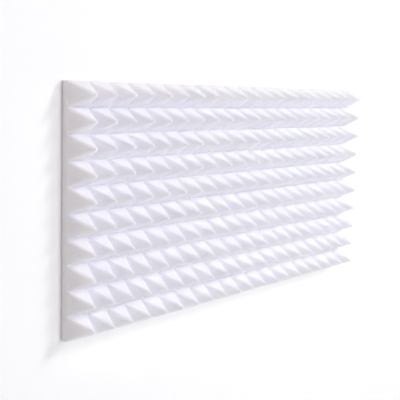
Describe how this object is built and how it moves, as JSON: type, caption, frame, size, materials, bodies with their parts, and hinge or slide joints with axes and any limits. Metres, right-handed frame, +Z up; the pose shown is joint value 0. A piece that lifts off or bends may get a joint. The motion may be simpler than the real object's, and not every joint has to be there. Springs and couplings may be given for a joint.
{
  "type": "acoustic foam panel",
  "caption": "Rectangular wall panel of white open-cell foam: an even field of square pyramids on a flat slab, held to the wall by thin mounting strips on its back.",
  "frame": {"origin": "the middle of the panel on the wall's face, which is the back face of the centre mounting strip", "axes": "+Y into the wall, so the pyramids point along -Y into the room; +X to the right seen from the room, along the panel's long side; +Z up"},
  "size_m": [1, 0.0713, 0.5],
  "materials": {
    "foam": "soft open-cell polyurethane foam, white with a cool tint, fully matte",
    "mounting_tape": "off-white closed-cell polyethylene foam tape with adhesive on both faces"
  },
  "bodies": {
    "root": {"foam_panel": "foam", "mounting_strip_top_1": "mounting_tape", "mounting_strip_top_2": "mounting_tape", "mounting_strip_top_3": "mounting_tape", "mounting_strip_centre": "mounting_tape", "mounting_strip_bottom_1": "mounting_tape", "mounting_strip_bottom_2": "mounting_tape", "mounting_strip_bottom_3": "mounting_tape"}
  },
  "joints": []
}
